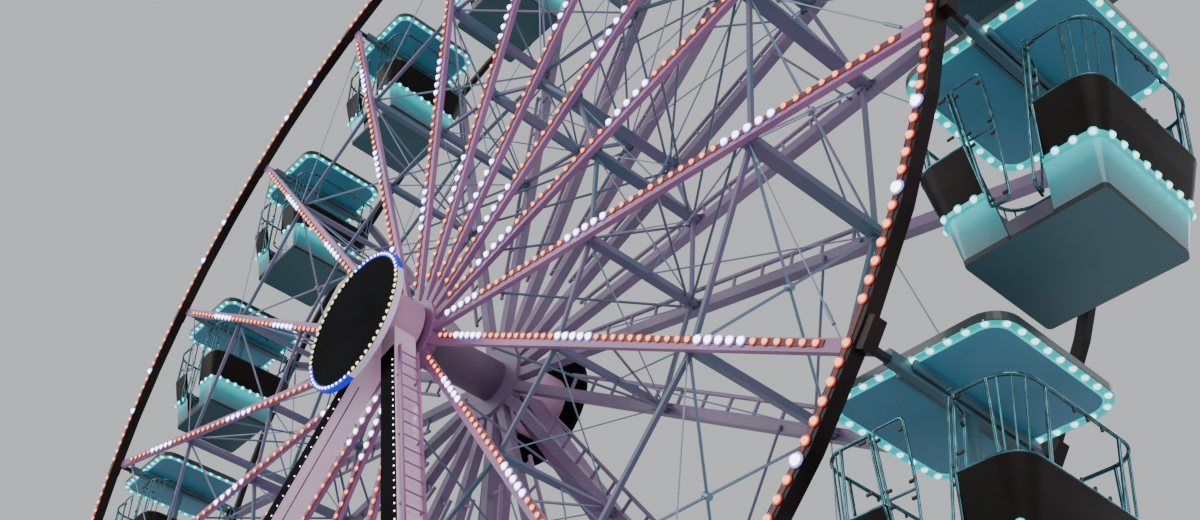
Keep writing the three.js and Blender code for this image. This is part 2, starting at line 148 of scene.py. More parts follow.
# A direction as a unit vector, and two more that are square to it
def frame_of(direction, side=None):
    along = Vector(direction).normalized()
    guide = Vector(side) if side is not None else Vector((0, 0, 1))
    if abs(along.dot(guide.normalized())) > 0.98:
        guide = Vector((1, 0, 0))
    across = (guide - along * guide.dot(along)).normalized()
    return along, across, along.cross(across)


# How much wider a tube's section has to be at a bend, to keep the tube's thickness there
def bend_stretch(before, at, after):
    inward = (at - before).normalized()
    onward = (after - at).normalized() if (after - at).length else inward
    return min(1.3, 1 / math.sqrt(max(0.25, (1 + inward.dot(onward)) / 2)))


# A round tube along points
def tube(shape, points, radius, mat=0, sides=8, closed=False):
    points = [Vector(p) for p in points]
    count = len(points)
    rings = []
    across = None
    for i, p in enumerate(points):
        before = points[i - 1] if (closed or i > 0) else p
        after = points[(i + 1) % count] if (closed or i < count - 1) else p
        along = (after - before).normalized()
        if across is None:
            along, across, _ = frame_of(along)
        across = (across - along * across.dot(along)).normalized()
        up = along.cross(across)
        stretch = bend_stretch(before, p, after) if (i > 0 or closed) else 1.0
        rings.append([p + (across * math.cos(a) + up * math.sin(a)) * radius * stretch
                      for a in (2 * math.pi * k / sides for k in range(sides))])
    verts = [v for ring in rings for v in ring]
    faces = []
    last = count if closed else count - 1
    for i in range(last):
        a, b = i * sides, ((i + 1) % count) * sides
        for k in range(sides):
            n = (k + 1) % sides
            faces.append((a + k, a + n, b + n, b + k))
    shape.add(verts, faces, mat, True)
    if not closed:
        shape.add(rings[0], [tuple(reversed(range(sides)))], mat)
        shape.add(rings[-1], [tuple(range(sides))], mat)


# A straight box bar with small chamfers along its edges; its width lies along the side vector
def beam(shape, a, b, width, depth, side, mat=0, chamfer=0.006):
    a, b = Vector(a), Vector(b)
    _, across, up = frame_of(b - a, side)
    w, d, c = width / 2, depth / 2, min(chamfer, width / 4, depth / 4)
    section = [(w - c, -d), (w, -d + c), (w, d - c), (w - c, d), (c - w, d), (-w, d - c),
               (-w, c - d), (c - w, -d)]
    verts = [p + across * x + up * y for p in (a, b) for x, y in section]
    shape.add(verts, prism_faces(len(section)), mat)


# A flat plate between two parallel faces, given by its corners and its thickness
def plate(shape, corners, thickness, mat=0):
    corners = [Vector(c) for c in corners]
    normal = (corners[1] - corners[0]).cross(corners[2] - corners[1]).normalized() * (thickness / 2)
    verts = [c - normal for c in corners] + [c + normal for c in corners]
    shape.add(verts, prism_faces(len(corners)), mat)


# Rings of a lamp's dome: share of its radius, and height in radii
DOME = ((1.0, 0.0), (1.0, 0.28), (0.84, 0.70), (0.5, 1.0))


# A domed lamp in a short collar, facing along the normal
def lamp(shape, at, normal, radius, mat=0, collar=1, sides=10):
    along, across, up = frame_of(normal)
    at = Vector(at)
    rings = []
    for r, h in DOME:
        rings.append([at + (across * math.cos(t) + up * math.sin(t)) * radius * r + along * radius * h
                      for t in (2 * math.pi * k / sides for k in range(sides))])
    verts = [v for ring in rings for v in ring] + [at + along * radius * 1.1]
    faces = []
    for j in range(3):
        for k in range(sides):
            n = (k + 1) % sides
            faces.append((j * sides + k, j * sides + n, (j + 1) * sides + n, (j + 1) * sides + k))
    for k in range(sides):
        faces.append((3 * sides + k, 3 * sides + (k + 1) % sides, 4 * sides))
    faces.append(tuple(reversed(range(sides))))
    shape.add(verts, faces, mat, True)
    outer = [at + (across * math.cos(t) + up * math.sin(t)) * radius * 1.35 - along * 0.002
             for t in (2 * math.pi * k / sides for k in range(sides))]
    inner = [v + along * (radius * 0.3) for v in outer]
    shape.add(outer + inner, prism_faces(sides), collar)


# MATERIALS
# Paint or metal with uneven tone and gloss, fine grain and grime. A given second colour takes the darker
# tone's place; on some materials that second colour is painted light, and so is a glow on a surface that
# is no lamp.
def finish(name, color, rough=0.45, metal=0.0, tone=0.12, bump=0.02, coat=0.0,
           second=None, second_scale=1.2, glow=None, glow_strength=0.0, specular=0.5):
    m = bpy.data.materials.new(name)
    m.use_nodes = True
    nodes, links = m.node_tree.nodes, m.node_tree.links
    bsdf = nodes["Principled BSDF"]
    where = nodes.new("ShaderNodeTexCoord")
    broad = nodes.new("ShaderNodeTexNoise")
    broad.inputs["Scale"].default_value = second_scale
    broad.inputs["Detail"].default_value = 6
    links.new(where.outputs["Object"], broad.inputs["Vector"])
    fine = nodes.new("ShaderNodeTexNoise")
    fine.inputs["Scale"].default_value = 60
    fine.inputs["Detail"].default_value = 4
    links.new(where.outputs["Object"], fine.inputs["Vector"])
    ramp = nodes.new("ShaderNodeValToRGB")
    dark = tuple(c * (1 - tone * 2) for c in color) if second is None else second
    light = tuple(min(1, c * (1 + tone)) for c in color)
    ramp.color_ramp.elements[0].position = 0.32
    ramp.color_ramp.elements[0].color = (*dark, 1)
    ramp.color_ramp.elements[1].position = 0.68
    ramp.color_ramp.elements[1].color = (*light, 1)
    links.new(broad.outputs["Fac"], ramp.inputs["Fac"])
    links.new(ramp.outputs["Color"], bsdf.inputs["Base Color"])
    gloss = nodes.new("ShaderNodeMapRange")
    gloss.inputs["To Min"].default_value = max(0.05, rough - 0.1)
    gloss.inputs["To Max"].default_value = min(1, rough + 0.12)
    links.new(fine.outputs["Fac"], gloss.inputs["Value"])
    links.new(gloss.outputs["Result"], bsdf.inputs["Roughness"])
    relief = nodes.new("ShaderNodeBump")
    relief.inputs["Strength"].default_value = bump * 10
    relief.inputs["Distance"].default_value = 0.002
    links.new(fine.outputs["Fac"], relief.inputs["Height"])
    links.new(relief.outputs["Normal"], bsdf.inputs["Normal"])
    bsdf.inputs["Metallic"].default_value = metal
    bsdf.inputs["Specular IOR Level"].default_value = specular
    bsdf.inputs["Coat Weight"].default_value = coat
    bsdf.inputs["Coat Roughness"].default_value = 0.08
    if glow:
        bsdf.inputs["Emission Color"].default_value = (*glow, 1)
        bsdf.inputs["Emission Strength"].default_value = glow_strength
    return m


# A lit lamp: a bright heart that falls off towards its rim
def glowing(name, heart, rim, strength):
    m = bpy.data.materials.new(name)
    m.use_nodes = True
    nodes, links = m.node_tree.nodes, m.node_tree.links
    bsdf = nodes["Principled BSDF"]
    facing = nodes.new("ShaderNodeLayerWeight")
    facing.inputs["Blend"].default_value = 0.45
    ramp = nodes.new("ShaderNodeValToRGB")
    ramp.color_ramp.elements[0].color = (*heart, 1)
    ramp.color_ramp.elements[0].position = 0.25
    ramp.color_ramp.elements[1].color = (*rim, 1)
    ramp.color_ramp.elements[1].position = 0.8
    links.new(facing.outputs["Facing"], ramp.inputs["Fac"])
    links.new(ramp.outputs["Color"], bsdf.inputs["Emission Color"])
    links.new(ramp.outputs["Color"], bsdf.inputs["Base Color"])
    bsdf.inputs["Emission Strength"].default_value = strength
    bsdf.inputs["Roughness"].default_value = 0.3
    return m


# Glossy skirt whose teal tint and glow are painted light from the lamps on the lip, fading out between
# two heights
SKIRT_LIT = -1.78
SKIRT_DARK = -2.16


def skirt_with_painted_light():
    m = finish("gondola_skirt_painted_teal_light", (0.08, 0.19, 0.21), rough=0.30, tone=0.05, coat=0.4, specular=0.3)
    nodes, links = m.node_tree.nodes, m.node_tree.links
    bsdf = nodes["Principled BSDF"]
    bsdf.inputs["Coat IOR"].default_value = 1.6
    where = nodes.new("ShaderNodeTexCoord")
    split = nodes.new("ShaderNodeSeparateXYZ")
    links.new(where.outputs["Object"], split.inputs["Vector"])
    # Painted light: a teal glow and a brighter teal base colour towards the lip
    painted_glow_fade = nodes.new("ShaderNodeMapRange")
    painted_glow_fade.inputs["From Min"].default_value = SKIRT_DARK
    painted_glow_fade.inputs["From Max"].default_value = SKIRT_LIT
    links.new(split.outputs["Z"], painted_glow_fade.inputs["Value"])
    ramp = nodes.new("ShaderNodeValToRGB")
    ramp.color_ramp.elements[0].color = (0, 0, 0, 1)
    ramp.color_ramp.elements[1].color = (0.0, 0.66, 0.70, 1)
    middle = ramp.color_ramp.elements.new(0.5)
    middle.color = (0.0, 0.13, 0.15, 1)
    links.new(painted_glow_fade.outputs["Result"], ramp.inputs["Fac"])
    links.new(ramp.outputs["Color"], bsdf.inputs["Emission Color"])
    bsdf.inputs["Emission Strength"].default_value = 0.9
    painted_light_tint = nodes.new("ShaderNodeValToRGB")
    painted_light_tint.color_ramp.elements[0].color = (0.08, 0.20, 0.225, 1)
    painted_light_tint.color_ramp.elements[1].color = (0.0, 0.22, 0.25, 1)
    links.new(painted_glow_fade.outputs["Result"], painted_light_tint.inputs["Fac"])
    links.new(painted_light_tint.outputs["Color"], bsdf.inputs["Base Color"])
    return m


MAT = {
    # wheel
    # The wheel's paint is white: the front's pink is painted floodlight, and the darker rear is a
    # painted-shade copy of it
    "frame": finish("frame_painted_pink_light", (0.37, 0.15, 0.32), rough=0.40,
                    second=(0.24, 0.09, 0.23), second_scale=0.5),
    "rear": finish("wheel_rear_painted_shade", (0.20, 0.13, 0.23), rough=0.45,
                   second=(0.11, 0.08, 0.15), second_scale=0.6),
    "hub": finish("hub_mauve", (0.13, 0.07, 0.13), rough=0.45, second=(0.07, 0.04, 0.08)),
    "rim": finish("rim_brown", (0.014, 0.007, 0.007), rough=0.45, tone=0.3, coat=0.05, specular=0.15),
    # The struts' and rods' mauve and violet tints and their teal patches are painted floodlight
    "brace": finish("brace_painted_light", (0.15, 0.10, 0.20), rough=0.45,
                    second=(0.06, 0.13, 0.18), second_scale=0.8, specular=0.3),
    "rod": finish("rod_painted_light", (0.27, 0.22, 0.36), rough=0.35, metal=0.3,
                  second=(0.13, 0.28, 0.36), second_scale=0.8),
    # stand
    # The stand's paint is white: its pink is painted floodlight, and the head and the rear legs are
    # darker copies, painted shade
    "stand": finish("stand_painted_pink_light", (0.93, 0.70, 0.85), rough=0.38,
                    second=(0.74, 0.42, 0.64), second_scale=0.35, coat=0.3),
    "head": finish("head_painted_pink_light", (0.62, 0.36, 0.53), rough=0.40,
                   second=(0.48, 0.25, 0.41), second_scale=0.8),
    "stand_rear": finish("stand_rear_painted_shade", (0.27, 0.13, 0.28), rough=0.42,
                         second=(0.17, 0.08, 0.20), second_scale=0.4),
    # Black of the cover discs; on the front legs' sheets it is painted shade
    "black": finish("black_discs_and_leg_shade", (0.004, 0.004, 0.005), rough=0.9, tone=0.2, specular=0.05),
    "clamp": finish("clamp_black", (0.008, 0.009, 0.012), rough=0.5, tone=0.2),
    "steel": finish("axle_steel", (0.40, 0.42, 0.46), rough=0.28, metal=0.9, tone=0.1),
    "deck": finish("deck_plate", (0.42, 0.44, 0.47), rough=0.45, metal=0.7, bump=0.05),
    # gondolas
    # Its teal speckles, the second colour at a fine scale, are painted reflections of the lamps
    "chrome": finish("rail_chrome_painted_reflections", (0.04, 0.07, 0.08), rough=0.18, metal=1.0,
                     second=(0.07, 0.24, 0.28), second_scale=9),
    "wall": finish("wall_brown", (0.010, 0.007, 0.006), rough=0.45, tone=0.3, specular=0.10),
    "skirt": skirt_with_painted_light(),
    "sill": finish("sill_mauve", (0.075, 0.065, 0.105), rough=0.5, tone=0.15),
    "seam": finish("seam_dark", (0.008, 0.010, 0.012), rough=0.6, tone=0.2),
    "under": finish("underside_grey", (0.035, 0.095, 0.115), rough=0.4,
                    second=(0.05, 0.11, 0.13), specular=0.3),
    "inside": finish("inside_grey", (0.10, 0.13, 0.17), rough=0.5, tone=0.08),
    # The panel's glow is painted light from the lamp band round it
    "panel": finish("canopy_panel_painted_glow", (0.075, 0.18, 0.26), rough=0.35,
                    second=(0.05, 0.15, 0.20), second_scale=0.7,
                    glow=(0.01, 0.16, 0.26), glow_strength=0.2, specular=0.2),
    "canopy": finish("canopy_shell", (0.012, 0.024, 0.028), rough=0.35, tone=0.1, coat=0.1),
    "beam": finish("beam_slate", (0.06, 0.14, 0.18), rough=0.4, tone=0.2),
    "seat": finish("bench_grey", (0.07, 0.09, 0.12), rough=0.55, tone=0.1),
    # The lamp band's glow and its trim's bright glowing edges are painted light from the lamps they
    # carry
    "band": finish("lamp_band_painted_glow", (0.0, 0.26, 0.28), rough=0.25, tone=0.1,
                   glow=(0.0, 0.62, 0.65), glow_strength=0.65),
    "trim": finish("band_trim_painted_glow", (0.02, 0.45, 0.47), rough=0.2, metal=0.3, tone=0.05,
                   glow=(0.0, 0.85, 0.85), glow_strength=0.6),
    # lamps
    # The dark red strips' faint glow is painted light from their lamps
    "strip": finish("lamp_strip_red_painted_glow", (0.075, 0.010, 0.012), rough=0.5, tone=0.2,
                    glow=(0.5, 0.02, 0.015), glow_strength=0.12),
    "warm": glowing("lamp_warm", (1.0, 0.52, 0.27), (0.95, 0.10, 0.03), 1.7),
    "halo": finish("lamp_halo_red", (0.30, 0.02, 0.012), rough=0.4,
                   glow=(0.9, 0.05, 0.02), glow_strength=0.6),
    "white": glowing("lamp_white", (1.0, 1.0, 1.0), (0.55, 0.55, 1.0), 5.0),
    "haze": finish("lamp_haze_violet", (0.22, 0.20, 0.50), rough=0.4,
                   glow=(0.35, 0.32, 0.95), glow_strength=0.8),
    "teal": glowing("lamp_teal", (0.72, 1.0, 1.0), (0.0, 0.75, 0.78), 2.0),
    "yellow": glowing("lamp_yellow", (1.0, 0.95, 0.45), (0.62, 0.58, 0.04), 1.5),
    # The disc edge's blue glow and its pale, glowing side are painted light on its white shell
    "blue": finish("disc_edge_painted_blue_glow", (0.003, 0.01, 0.45), rough=0.5,
                   glow=(0.0, 0.02, 0.80), glow_strength=0.6, specular=0.1),
    "pale": finish("disc_side_painted_light", (0.72, 0.60, 0.78), rough=0.35, tone=0.05,
                   glow=(0.8, 0.65, 0.85), glow_strength=0.15),
}


# A piece's materials, in the order of their numbers
def mats(*names):
    return [MAT[name] for name in names]


# WHEEL
def on_wheel(angle, radius, y):
    return Vector((math.cos(angle) * radius, y, math.sin(angle) * radius))


def tangent(angle):
    return Vector((-math.sin(angle), 0, math.cos(angle)))


def spoke_angle(i):
    return FIRST_SPOKE + i * BAY


# Distance of a spoke's outer face from the mid plane
def spoke_face(radius, side=FRONT):
    return side[1] - side[2] * (1 - radius / RIM_RADIUS)


# A point at the inner face of a spoke, or at a lift off it
def inner_point(i, radius, side, lift=0.0):
    y = spoke_face(radius, side) - side[3] - lift
    return on_wheel(spoke_angle(i), radius, side[0] * y)


# A node kept from the frame gets its material, and bevelled edges where a width is given
def paint_node(name, mat, bevel=0.0):
    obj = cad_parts[name]
    obj.data.materials.clear()
    obj.data.materials.append(mat)
    if bevel:
        mod = obj.modifiers.new("edges", "BEVEL")
        mod.width = bevel
        mod.segments = 2
        mod.limit_method = "ANGLE"
        mod.angle_limit = math.radians(50)


paint_node("wheel_hub", MAT["hub"], 0.012)
paint_node("wheel_spokes_front", MAT["frame"], 0.008)
paint_node("wheel_spokes_rear", MAT["rear"], 0.008)
paint_node("wheel_rim_front", MAT["rim"], 0.008)
paint_node("wheel_rim_rear", MAT["rim"], 0.008)
paint_node("wheel_cage_outer", MAT["brace"], 0.006)
paint_node("wheel_cage_inner", MAT["brace"], 0.006)

# Lamps along the front rim: eighteen to a bay, with two white ones in each. The first stands
# a little over one step past the node between two bays.
RIM_LAMPS = 18
LAMP_PITCH = math.radians(1.037)
FIRST_STEP = 1.14
WHITE_AT = (6, 11)
RIM_LAMP_RADIUS = 9.975
# Lamp sizes: coloured ones and white ones
RIM_SIZES = (0.040, 0.055)
SPOKE_SIZES = (0.035, 0.046)
DISC_SIZES = (0.030, 0.020)
# The channel: inner and outer radius, and where its faces lie along the axle
CHANNEL = (9.946, 10.004, -1.557, -1.545)


# A coloured or a white lamp. Each kind has two materials in a row: the lamp's and its collar's.
def colour_lamp(shape, at, sizes, white):
    kind = 1 if white else 0
    lamp(shape, at, (0, -1, 0), sizes[kind], 2 * kind, 2 * kind + 1)


def rim_lights():
    shape = Shape()
    for bay in range(BAYS):
        for k in range(RIM_LAMPS):
            angle = FIRST_NODE + bay * BAY + LAMP_PITCH * (FIRST_STEP + k)
            colour_lamp(shape, on_wheel(angle, RIM_LAMP_RADIUS, -RIM_FACE - 0.006), RIM_SIZES,
                        k in WHITE_AT)
    return shape.mesh("rim_lights", mats("warm", "halo", "white", "haze"))


# A band round the wheel's axis, with a rectangular section
def ring_band(shape, inner, outer, y0, y1, mat=0, steps=162):
    loops = []
    for r, y in ((inner, y1), (inner, y0), (outer, y0), (outer, y1)):
        loops.append([on_wheel(2 * math.pi * k / steps, r, y) for k in range(steps)])
    verts = [v for loop in loops for v in loop]
    faces = []
    for j in range(4):
        a, b = j * steps, ((j + 1) % 4) * steps
        for k in range(steps):
            n = (k + 1) % steps
            faces.append((a + k, a + n, b + n, b + k))
    shape.add(verts, faces, mat)


# A shallow channel round the rim's face that the lamps sit in, faintly glowing with painted light
def rim_channel():
    shape = Shape()
    ring_band(shape, *CHANNEL)
    return shape.mesh("rim_channel", mats("strip"))


# Lamps along the front spokes. Runs of white ones, a fixed step apart, start at a different lamp on
# each spoke. The row lies at one edge of the face and comes nearer its middle towards the rim.
SPOKE_LAMPS = 46
FIRST_LAMP = 1.043
LAST_LAMP = 9.405
RUN_LENGTH = 5
RUN_STEP = 16
RUN_START = (6, 3, 0, 2, 4, 2, 1, 0, 1, 2, 2, 5, 3, 0, 4, 5, 6, 7)
# The row's distance from the middle of the face, up to the first radius and at the second
ROW_OFFSET = (0.058, 0.012)
ROW_RADII = (5.0, 9.5)


def row_offset(radius):
    start, end = ROW_RADII
    if radius < start:
        return ROW_OFFSET[0]
    return lerp(*ROW_OFFSET, (radius - start) / (end - start))


def on_spoke(i, radius, lift):
    a = spoke_angle(i)
    return on_wheel(a, radius, -spoke_face(radius) - lift) + tangent(a) * row_offset(radius)


def spoke_lights():
    shape = Shape()
    for i in range(BAYS):
        for k in range(SPOKE_LAMPS):
            r = lerp(FIRST_LAMP, LAST_LAMP, k / (SPOKE_LAMPS - 1))
            white = (k - RUN_START[i]) % RUN_STEP < RUN_LENGTH
            colour_lamp(shape, on_spoke(i, r, 0.012), SPOKE_SIZES, white)
    return shape.mesh("spoke_lights", mats("warm", "halo", "white", "haze"))


# Dark red strips that the spokes' lamps sit on, faintly glowing with painted light
def spoke_strips():
    shape = Shape()
    for i in range(BAYS):
        stops = (0.95, *ROW_RADII)
        for r0, r1 in zip(stops, stops[1:]):
            beam(shape, on_spoke(i, r0, 0.004), on_spoke(i, r1, 0.004), 0.07, 0.012,
                 tangent(spoke_angle(i)), 0, 0.002)
    return shape.mesh("spoke_strips", mats("strip"))


# Radii of the nodes that the cross struts join, and of the rods' outer ends
STRUT_RADIUS = 7.25
INNER_RADIUS = 4.30
ROD_RADIUS = 9.7
# Tubes that cross a bay at each node: where, their radius and their sides
CROSS_TUBES = ((STRUT_RADIUS, 0.019, 8), (INNER_RADIUS, 0.011, 6))
# Tubes from a rear spoke to the front spoke of the same pair: radii of their two ends
SLOPING_TUBES = ((4.2, 5.7), (4.2, 7.1), (4.2, 2.2))
SLOPING_SIZE = 0.018


# Tubes and rods between the two sides of the wheel and from spoke to spoke
def bracing():
    shape = Shape()
    for i in range(BAYS):
        for first, second in ((FRONT, REAR), (REAR, FRONT)):
            for at, radius, sides in CROSS_TUBES:
                ends = [inner_point(i, at, first, 0.03), inner_point(i + 1, at, second, 0.03)]
                tube(shape, ends, radius, 0, sides)
        crossing = (inner_point(i, STRUT_RADIUS, FRONT) + inner_point(i + 1, STRUT_RADIUS, REAR)) / 2
        outward = Vector((crossing.x, 0, crossing.z)).normalized()
        tube(shape, [crossing - outward * 0.05, crossing + outward * 0.05], 0.045, 0, 10)
        for r_rear, r_front in SLOPING_TUBES:
            ends = [inner_point(i, r_rear, REAR), inner_point(i, r_front, FRONT)]
            tube(shape, ends, SLOPING_SIZE, 1, 8)
        ends = [inner_point(i, 7.0, REAR, 0.02), inner_point(i + 1, 6.45, REAR, 0.02)]
        tube(shape, ends, SLOPING_SIZE, 1, 8)
        middle = on_wheel(spoke_angle(i), INNER_RADIUS + 0.05, 0.05)
        for side in (FRONT, REAR):
            tube(shape, [middle, inner_point(i, STRUT_RADIUS, side, 0.02)], 0.012, 0, 6)
            far = inner_point(i, ROD_RADIUS, side, 0.02)
            near = inner_point(i + 1, STRUT_RADIUS, side, 0.02)
            tube(shape, [near, far], 0.009, 0, 6)
            tube(shape, [near.lerp(far, 0.82), near.lerp(far, 0.90)], 0.020, 0, 8)
    return shape.mesh("bracing_rods", mats("rod", "brace"))


# A point on the middle line of a rear spoke
def middle_of_rear(i, radius):
    return on_wheel(spoke_angle(i), radius, spoke_face(radius, REAR) - REAR[3] / 2)


# Ladder frames beside the rear spokes
def rear_ladders():
    shape = Shape()
    start, end, rungs = 1.9, 6.9, 11
    for i in range(BAYS):
        t = tangent(spoke_angle(i))
        offset = t * 0.30
        rail = [middle_of_rear(i, r) + offset for r in (start, end)]
        beam(shape, *rail, 0.05, 0.05, t)
        for k in range(rungs):
            at = middle_of_rear(i, lerp(2.0, 6.8, k / (rungs - 1)))
            beam(shape, at + t * 0.07, at + offset, 0.04, 0.04, (0, 1, 0))
    return shape.mesh("rear_ladders", mats("rear"))


# Gusset plates where struts and rods meet the spokes
def gussets():
    shape = Shape()
    for i in range(BAYS):
        a = spoke_angle(i)
        for side in (FRONT, REAR):
            sign = side[0]
            for r in (STRUT_RADIUS, INNER_RADIUS, ROD_RADIUS):
                y = sign * (spoke_face(r, side) - side[3] - 0.005)
                half = 0.16 if r in (STRUT_RADIUS, INNER_RADIUS) else 0.09
                inner = sign * (abs(y) - 0.10)
                corners = [on_wheel(a, r - half, y), on_wheel(a, r + half, y),
                           on_wheel(a, r + half * 0.4, inner), on_wheel(a, r - half * 0.4, inner)]
                plate(shape, corners, 0.012, 0)
    return shape.mesh("gussets", mats("brace"))


place("rim_lights_front", rim_lights(), "wheel", HUB)
place("rim_channel_front", rim_channel(), "wheel", HUB)
place("spoke_lights_front", spoke_lights(), "wheel", HUB)
place("spoke_strips_front", spoke_strips(), "wheel", HUB)
place("bracing_rods", bracing(), "wheel", HUB)
place("rear_ladders", rear_ladders(), "wheel", HUB)
place("spoke_gussets", gussets(), "wheel", HUB)


# GONDOLAS
# A quarter circle, and the rounded rectangle that four of them make
def corner_arc(cx, cy, r, start):
    return [(cx + r * math.cos(start + k / CORNER_STEPS * math.pi / 2),
             cy + r * math.sin(start + k / CORNER_STEPS * math.pi / 2)) for k in range(CORNER_STEPS + 1)]


def closed_loop(x, y, r, z):
    points = []
    points += corner_arc(x - r, r - y, r, -math.pi / 2)
    points += corner_arc(x - r, y - r, r, 0)
    points += corner_arc(r - x, y - r, r, math.pi / 2)
    points += corner_arc(r - x, r - y, r, math.pi)
    return [Vector((px, py, z)) for px, py in points]


# The same loop, open at the front between the jambs
def open_loop(x, y, r, z, jamb):
    return [Vector((jamb, -y, z))] + closed_loop(x, y, r, z) + [Vector((-jamb, -y, z))]


# The jambs of the doorway lean outwards with height
def jamb_x(z):
    return JAMB_TOP[0] - HINGE_LEAN[0] * (JAMB_TOP[1] - z)


def jamb_edge(z):
    return jamb_x(z) - JAMB_HALF


# Walls over a set-back skirt, cut open at the doorway. Each row between two outlines has
# its material's place in the list of names.
def tub_mesh():
    shape = Shape()
    mid = tuple(lerp(WALL_TOP[k], LIP[k], 0.5) for k in range(4))
    band_top = (LIP[0] + 0.003, LIP[1] + 0.003, LIP[2], LIP[3] + 0.055)
    outlines = [ROOM_FLOOR, ROOM_TOP, WALL_TOP, mid, band_top, LIP, SKIRT_TOP, SEAM, UNDERSIDE]
    row_mats = [4, 3, 0, 0, 5, 5, 1, 2]
    loops = [open_loop(*outline, jamb_edge(outline[3])) for outline in outlines]
    for j, mat in enumerate(row_mats):
        a, b = loops[j], loops[j + 1]
        n = len(a)
        faces = [(k, k + 1, n + k + 1, n + k) for k in range(n - 1)]
        shape.add(a + b, faces, mat, j != 1)
    for end in (0, -1):
        ring = [loop[end] for loop in loops]
        order = tuple(range(len(ring)))
        shape.add(ring, [order if end == 0 else tuple(reversed(order))], 0)
    # floor slab
    under = closed_loop(*UNDERSIDE)
    seam = closed_loop(SEAM[0] - 0.012, SEAM[1] - 0.012, SEAM[2], -2.215)
    top = closed_loop(*SILL_TOP)
    n = len(under)
    shape.add(under, [tuple(reversed(range(n)))], 6)
    shape.add(under + seam, band_faces(n), 2)
    shape.add(seam + top, band_faces(n), 7)
    shape.add(top, [tuple(range(n))], 4)
    names = ("wall", "skirt", "seam", "chrome", "inside", "band", "under", "sill")
    return shape.mesh("gondola_tub", mats(*names))


# Flat canopy with a lamp band round its underside and a panel within the band
def canopy_mesh():
    shape = Shape()
    x, y, r = CANOPY
    lx, ly, lr = CANOPY_LAMPS
    half = 0.044
    inset = half + 0.012
    outlines = [
        (x - 0.30, y - 0.30, r * 0.7, 0.258), (x - 0.16, y - 0.16, r * 0.8, 0.252),
        (x - 0.03, y - 0.03, r, 0.205), (x, y, r, 0.180), (x, y, r, 0.170), (x, y, r, 0.092),
        (x - 0.003, y - 0.003, r, 0.082), (lx + half, ly + half, lr + half, 0.082),
        (lx + half, ly + half, lr + half, 0.102), (lx - half, ly - half, lr - half, 0.102),
        (lx - half, ly - half, lr - half, 0.084), (lx - inset, ly - inset, lr - half, 0.084),
    ]
    row_mats = [0, 0, 0, 0, 0, 0, 1, 1, 3, 1, 1]
    loops = [closed_loop(*outline) for outline in outlines]
    n = len(loops[0])
    shape.add(loops[0], [tuple(range(n))], 0)
    for j, mat in enumerate(row_mats):
        shape.add(loops[j] + loops[j + 1], turned(band_faces(n)), mat, j < 4)
    inner = loops[-1]
    panel = [v + Vector((0, 0, 0.006)) for v in inner]
    shape.add(inner + panel, turned(band_faces(n)), 1)
    shape.add(panel, [tuple(reversed(range(n)))], 4)
    return shape.mesh("gondola_canopy", mats("canopy", "trim", "band", "band", "panel"))


# Points at a fixed step round a loop, with the way out at each
def along_loop(points, count, closed=True):
    pts = [Vector(p) for p in points]
    if closed:
        pts.append(pts[0])
    lengths = [0.0]
    for a, b in zip(pts, pts[1:]):
        lengths.append(lengths[-1] + (b - a).length)
    total = lengths[-1]
    out = []
    j = 0
    for k in range(count):
        s = total * (k + 0.5) / count
        while lengths[j + 1] < s:
            j += 1
        t = (s - lengths[j]) / (lengths[j + 1] - lengths[j])
        p = pts[j].lerp(pts[j + 1], t)
        d = (pts[j + 1] - pts[j]).normalized()
        out.append((p, Vector((d.y, -d.x, 0))))
    return out


# How many lamps stand under a canopy and along a tub's lip, and their sizes
CANOPY_ROW = (38, 0.036)
LIP_ROW = (32, 0.034)


def gondola_lights():
    shape = Shape()
    x, y, r = CANOPY_LAMPS
    count, size = CANOPY_ROW
    for p, _ in along_loop(closed_loop(x, y, r, 0.101), count):
        lamp(shape, p, (0, 0, -1), size)
    z = LIP[3] + 0.028
    out_by = 0.006
    loop = open_loop(LIP[0] + out_by, LIP[1] + out_by, LIP[2], z, jamb_edge(z) + 0.05)
    count, size = LIP_ROW
    for p, out in along_loop(loop, count, False):
        lamp(shape, p, out + Vector((0, 0, -0.35)), size)
    return shape.mesh("gondola_lights", mats("teal", "trim"))


# How far the rail and the feet of the posts stand within their outlines, the tubes' radii, and
# the width and depth of a clamp
RAIL_INSET = 0.021
POST_INSET = 0.02
RAIL_TUBE = 0.020
TRIM_TUBE = 0.013
POST_TUBE = 0.017
THIN_POST = 0.0095
CLAMP = (0.030, 0.022)


# Three thin posts round each corner, from the wall's loop to the rail's
def corner_posts(shape, low, top):
    for corner in range(4):
        for share in (0.25, 0.5, 0.75):
            step = corner * (CORNER_STEPS + 1) + share * CORNER_STEPS
            i, u = int(step), step - int(step)
            a = low[i].lerp(low[(i + 1) % len(low)], u)
            b = top[i].lerp(top[(i + 1) % len(top)], u)
            tube(shape, [a, b], THIN_POST, 0, 6)


# Clamps of the clear panels, at the jambs and at the rail and wall of each side
def panel_clamps(shape):
    rail_z, wall_z = RAIL[3], WALL_TOP[3]
    for sx in (-1, 1):
        for cz, cx in ((-0.54, 0.461), (-1.06, 0.427)):
            ends = [(sx * (cx + dx), -0.955, cz) for dx in (-0.01, 0.06)]
            beam(shape, *ends, *CLAMP, (0, 0, 1), 1)
        for cy in (-0.10, 0.09, 0.30):
            upper = [(sx * 1.01, cy, rail_z - dz) for dz in (0.005, 0.055)]
            lower = [(sx * cx, cy, wall_z + dz) for cx, dz in ((0.952, -0.005), (0.958, 0.055))]
            beam(shape, *upper, *CLAMP, (0, 1, 0), 1)
            beam(shape, *lower, *CLAMP, (0, 1, 0), 1)


